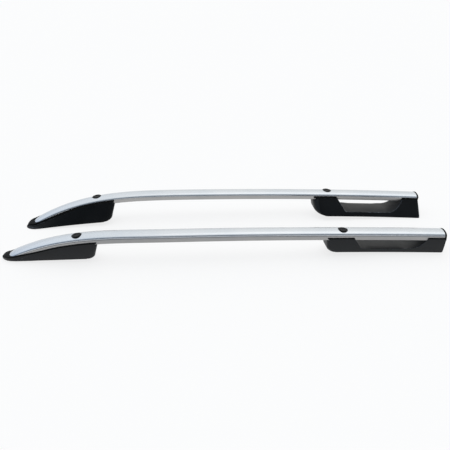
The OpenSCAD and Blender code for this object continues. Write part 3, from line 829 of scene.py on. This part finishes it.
CROWN_STEPS = 44
CROWN_DROP = 2.0
# The side's points below the crease: depth, and how far each stands out. The draw line is sunk.
SIDE_ROWS = [(-2.3, -0.3), (-2.8, -0.4), (-3.3, -0.1), (-4.2, 0.0), (-6.5, 0.0), (-9.0, 0.0),
             (-12.0, 0.0)]


def rail_section(x, g, inner=False):
    """Points round the D section at x: crown, draw line, side band, chamfered underside."""
    t = min(1.0, (x - TIP) / TIP_R)
    k = math.sqrt(max(0.0, 1 - (1 - t) ** 2)) if not inner else 1.0
    half, mid, c = RAIL_HALF + g, LEAN / 2, CHAMFER
    height = CROWN + CROWN_DROP + g
    turns = [math.pi * i / CROWN_STEPS for i in range(CROWN_STEPS + 1)]
    pts = [(half * math.cos(a), height * math.sin(a) * k ** 0.55 - CROWN_DROP * k) for a in turns]
    low = -BAND - g
    rows = SIDE_ROWS + [(low + c, 0.0)]
    if inner:
        rows = [(z, 0.0) for z, _ in rows]
    right = [(LEAN * -z / BAND + half + d, z) for z, d in rows] + [(LEAN + half - c, low)]
    left = [(LEAN * -z / BAND - half - d, z) for z, d in rows] + [(LEAN - half + c, low)]
    pts += left + right[::-1]
    floor_z = roof(x) + MITRE + (RAIL_WALL if inner else 0.0)
    return [(x, line(x) + mid + (p - mid) * k, max(crease(x) + q, floor_z)) for p, q in pts]


def at_bolt(obj, x, up):
    """Stands an object, drawn in millimetres, square on the rail over a bolt."""
    slope = math.atan(crease(x + 0.5) - crease(x - 0.5))
    turn = Matrix.Rotation(-slope, 4, "Y") @ Matrix.Translation((0, 0, up / 1000))
    obj.data.transform(Matrix.Translation(Vector((x, line(x) + PLUG_OUT, crease(x))) / 1000) @ turn)
    return obj


def lathe(name, profile, steps=96):
    """A closed turned solid from a profile of radius and height that starts and ends on the axis."""
    inner = profile[1:-1]
    n = len(inner)
    points = [(0.0, 0.0, profile[0][1]), (0.0, 0.0, profile[-1][1])]
    for i in range(steps):
        a = 2 * math.pi * i / steps
        points += [(r * math.cos(a), r * math.sin(a), z) for r, z in inner]
    faces = []
    for i in range(steps):
        p, q = 2 + i * n, 2 + (i + 1) % steps * n
        faces += [[0, p, q], [1, q + n - 1, p + n - 1]]
        faces += [[p + j, p + j + 1, q + j + 1, q + j] for j in range(n - 1)]
    return solid_from(name, points, faces)


EVEN_FROM = -380.0
tip_xs = [TIP + TIP_R * (1 - math.cos(math.pi / 2 * i / 18)) for i in range(1, 19)]
rail_xs = tip_xs + stations(tip_xs[-1], EVEN_FROM, 3.0)[1:]
rail_xs += stations(EVEN_FROM, REAR_BOLT - 20, 6.0)[1:]
rail_xs += stations(REAR_BOLT - 20, REAR_BOLT + 20, 2.0)[1:] + stations(REAR_BOLT + 20, RAIL_END, 6.0)[1:]
rail = loft("rail", [rail_section(x, 0.0) for x in rail_xs])
bore_xs = stations(TIP + 60, RAIL_END + 2, 12.0)
bore = loft("bore", [rail_section(x, -RAIL_WALL, True) for x in bore_xs])
spot_r = PLUG_R + PLUG_GAP
spots = [at_bolt(lathe("spot", [(0, 0), (spot_r, 0), (spot_r, 20), (0, 20)]), x, CROWN - SPOT_DEPTH)
         for x in (FRONT_BOLT, REAR_BOLT)]
rail = carve(rail, bore, *spots)

# Depths under the crease where the crown colour gives way to the draw line's painted shade, and where the
# band's painted shade begins; then the place and run over which the line's shade fades out towards the tip.
CROWN_EDGE = 2.1
SHADE_LINE_END = 3.4
SHADE_LINE_FADE_X, SHADE_LINE_FADE_RUN = -330.0, 90.0


def rail_face(x, y, z):
    """The colour of a face: 0 crown, 1 the draw line in painted crease shade, which runs out towards the
    tip, 2 the band in painted shade.
    """
    depth = crease(x) - z
    shade_line_end = min(SHADE_LINE_END, CROWN_EDGE + (x - SHADE_LINE_FADE_X) / SHADE_LINE_FADE_RUN)
    return 0 if depth < CROWN_EDGE else 1 if depth < shade_line_end else 2


rail_skins = [crown_satin, crease_shade_satin, band_shade_satin]
stand(rail, "rail_profile", "rail", rail_skins, 30.0, rail_face)


# Round plugs: moulded black discs that snap into spot faces on the crown and hide the
# bolts below. The rings on top are plain.
plug_black = grained(
    "plug_black", (0.003, 0.0035, 0.004), (0.006, 0.0065, 0.0075), (0.03, 0.032, 0.035),
    2200.0, 90.0, 0.00001, (0.3, 0.4), specular=0.07, reach=0.0004
)
# Radius and height, from the middle of the top out to the edge and down round the skirt.
PLUG_TOP = [(0.0, 1.95), (2.0, 1.95), (2.3, 1.75), (2.9, 1.75), (3.2, 1.93),
            (8.3, 1.78), (8.7, 1.42), (9.5, 1.38), (9.9, 1.68), (12.1, 1.4)]
PLUG_RIM = [(12.7, 1.25), (13.05, 0.95), (PLUG_R, 0.6), (PLUG_R, 0.1), (13.1, 0.0), (11.4, 0.0),
            (11.4, -5.4), (11.0, -6.0), (10.0, -6.0), (9.8, -0.4), (0.0, -0.4)]
for name, x in (("front_plug", FRONT_BOLT), ("rear_plug", REAR_BOLT)):
    disc = at_bolt(lathe(name, PLUG_TOP + PLUG_RIM), x, CROWN - SPOT_DEPTH)
    stand(disc, name + "_disc", name, [plug_black], 40.0)


# End caps: moulded black plates pushed into the open rear ends, standing a hair proud of the
# extrusion all round, with a softly rounded outer edge.
# Places along the rail, and how far the cap stands out from the rail's own section there.
CAP_STEPS = (
    (RAIL_END - 12.0, -3.6), (RAIL_END - 11.0, -2.8), (RAIL_END - 1.5, -2.8), (RAIL_END - 1.5, 0.3),
    (RAIL_END, CAP_PROUD), (TAIL - 1.0, CAP_PROUD), (TAIL - 0.4, 0.1), (TAIL - 0.1, -0.5), (TAIL, -1.4),
)
end_cap = loft("end_cap", [rail_section(x, g) for x, g in CAP_STEPS])
stand(end_cap, "end_plate", "end_cap", [rim_shade_and_cap_black], 40.0)


# The plain pale floor that the pair stands on, the soft lights and the camera. Where the floor is
# seen or mirrored, most of its white is its own glow; the rest is paint that takes the shadows.
FLOOR_HALF = 30000
FLOOR_GLOW = 0.78
floor_corners = [(a * FLOOR_HALF, b * FLOOR_HALF, 0) for a, b in ((-1, -1), (1, -1), (1, 1), (-1, 1))]
floor = solid_from("floor", floor_corners, [[0, 1, 2, 3]])
floor_paint, tree, shader = new_material("floor_paint")
shader.inputs["Roughness"].default_value = 1.0
shader.inputs["Specular IOR Level"].default_value = 0.0
cloud = add(tree, "ShaderNodeTexNoise", Scale=3.0, Detail=2.0)
tint(tree, cloud.outputs["Fac"], (0.965, 0.965, 0.965), (0.98, 0.98, 0.98), shader.inputs["Base Color"])
pale = add(tree, "ShaderNodeEmission", Color=(1.0, 1.0, 1.0, 1.0), Strength=1.0)
path = tree.nodes.new("ShaderNodeLightPath")
rays = [path.outputs[label] for label in ("Is Camera Ray", "Is Glossy Ray", "Is Transmission Ray")]
seen = rays[0]
for other in rays[1:]:
    either = tree.nodes.new("ShaderNodeMath")
    either.operation = "MAXIMUM"
    tree.links.new(seen, either.inputs[0])
    tree.links.new(other, either.inputs[1])
    seen = either.outputs[0]
share = tree.nodes.new("ShaderNodeMath")
share.operation = "MULTIPLY"
share.inputs[1].default_value = FLOOR_GLOW
tree.links.new(seen, share.inputs[0])
blend = tree.nodes.new("ShaderNodeMixShader")
tree.links.new(share.outputs[0], blend.inputs[0])
tree.links.new(shader.outputs[0], blend.inputs[1])
tree.links.new(pale.outputs[0], blend.inputs[2])
tree.links.new(blend.outputs[0], tree.nodes["Material Output"].inputs["Surface"])
floor.data.materials.append(floor_paint)
bpy.context.collection.objects.link(floor)

# The studio is bright above and behind, and dim low down in front, which gives the metal its shape.
SKY_AXIS = (-0.10, 0.73, 0.67)
SKY = [(-0.9, (0.12, 0.14, 0.17)), (-0.35, (0.15, 0.18, 0.22)), (0.10, (0.27, 0.31, 0.36)),
       (0.28, (0.72, 0.77, 0.82)), (0.44, (0.99, 1.0, 1.0)), (0.80, (1.0, 1.0, 0.99)),
       (1.0, (0.97, 0.98, 0.98))]
world = bpy.data.worlds.new("studio")
bpy.context.scene.world = world
world.use_nodes = True
tree = world.node_tree
background = tree.nodes["Background"]
background.inputs["Strength"].default_value = 1.0
towards = tree.nodes.new("ShaderNodeTexCoord")
facing = tree.nodes.new("ShaderNodeVectorMath")
facing.operation = "DOT_PRODUCT"
facing.inputs[1].default_value = Vector(SKY_AXIS).normalized()
height = add(tree, "ShaderNodeMapRange", From_Min=-1.0, From_Max=1.0)
sky = tree.nodes.new("ShaderNodeValToRGB")
while len(sky.color_ramp.elements) < len(SKY):
    sky.color_ramp.elements.new(0.5)
for stop, (at, colour) in zip(sky.color_ramp.elements, SKY):
    stop.position = (at + 1) / 2
    stop.color = (*colour, 1.0)
tree.links.new(towards.outputs["Generated"], facing.inputs[0])
tree.links.new(facing.outputs["Value"], height.inputs["Value"])
tree.links.new(height.outputs["Result"], sky.inputs["Fac"])
along = tree.nodes.new("ShaderNodeSeparateXYZ")
across = add(tree, "ShaderNodeMapRange", From_Min=-1.0, From_Max=1.0)
shade = tree.nodes.new("ShaderNodeMix")
shade.data_type = "RGBA"
shade.blend_type = "MULTIPLY"
shade.inputs[0].default_value = 1.0
tree.links.new(towards.outputs["Generated"], along.inputs[0])
tree.links.new(along.outputs["X"], across.inputs["Value"])
tint(tree, across.outputs["Result"], (0.78, 0.87, 1.0), (1.0, 1.0, 0.99), shade.inputs[7], 0.0, 0.5)
tree.links.new(sky.outputs["Color"], shade.inputs[6])
tree.links.new(shade.outputs[2], background.inputs["Color"])

# Name, energy, spread in degrees and the side that the light comes from.
LAMPS = (("overhead", 0.40, 120, (0.0, 0.0, 1.0)), ("window", 0.14, 44, (0.34, 0.03, 0.93)))
for name, energy, spread, source in LAMPS:
    lamp = bpy.data.objects.new(name, bpy.data.lights.new(name, "SUN"))
    lamp.data.energy = energy
    lamp.data.angle = math.radians(spread)
    lamp.rotation_euler = Vector(source).to_track_quat("Z", "Y").to_euler()
    bpy.context.collection.objects.link(lamp)

CAMERA_AT = (-0.1753, -1.3741, 0.757)
PITCH, YAW, ROLL = (math.radians(a) for a in (27.683, 6.827, 1.658))
LENS_PIXELS, FRAME_PIXELS = 539.45, 450
ahead = Vector((math.sin(YAW) * math.cos(PITCH), math.cos(YAW) * math.cos(PITCH), -math.sin(PITCH)))
level = Vector((math.cos(YAW), -math.sin(YAW), 0.0))
above = level.cross(ahead)
to_right = math.cos(ROLL) * level + math.sin(ROLL) * above
to_top = -math.sin(ROLL) * level + math.cos(ROLL) * above
turned = Matrix((to_right, to_top, -ahead)).transposed().to_4x4()
camera = bpy.data.objects.new("camera", bpy.data.cameras.new("camera"))
camera.data.sensor_width = 36.0
camera.data.lens = 36.0 * LENS_PIXELS / FRAME_PIXELS
camera.data.clip_end = 100.0
camera.matrix_world = Matrix.Translation(CAMERA_AT) @ turned
bpy.context.collection.objects.link(camera)
bpy.context.scene.camera = camera
bpy.context.scene.view_settings.view_transform = "Standard"

bpy.context.view_layer.update()
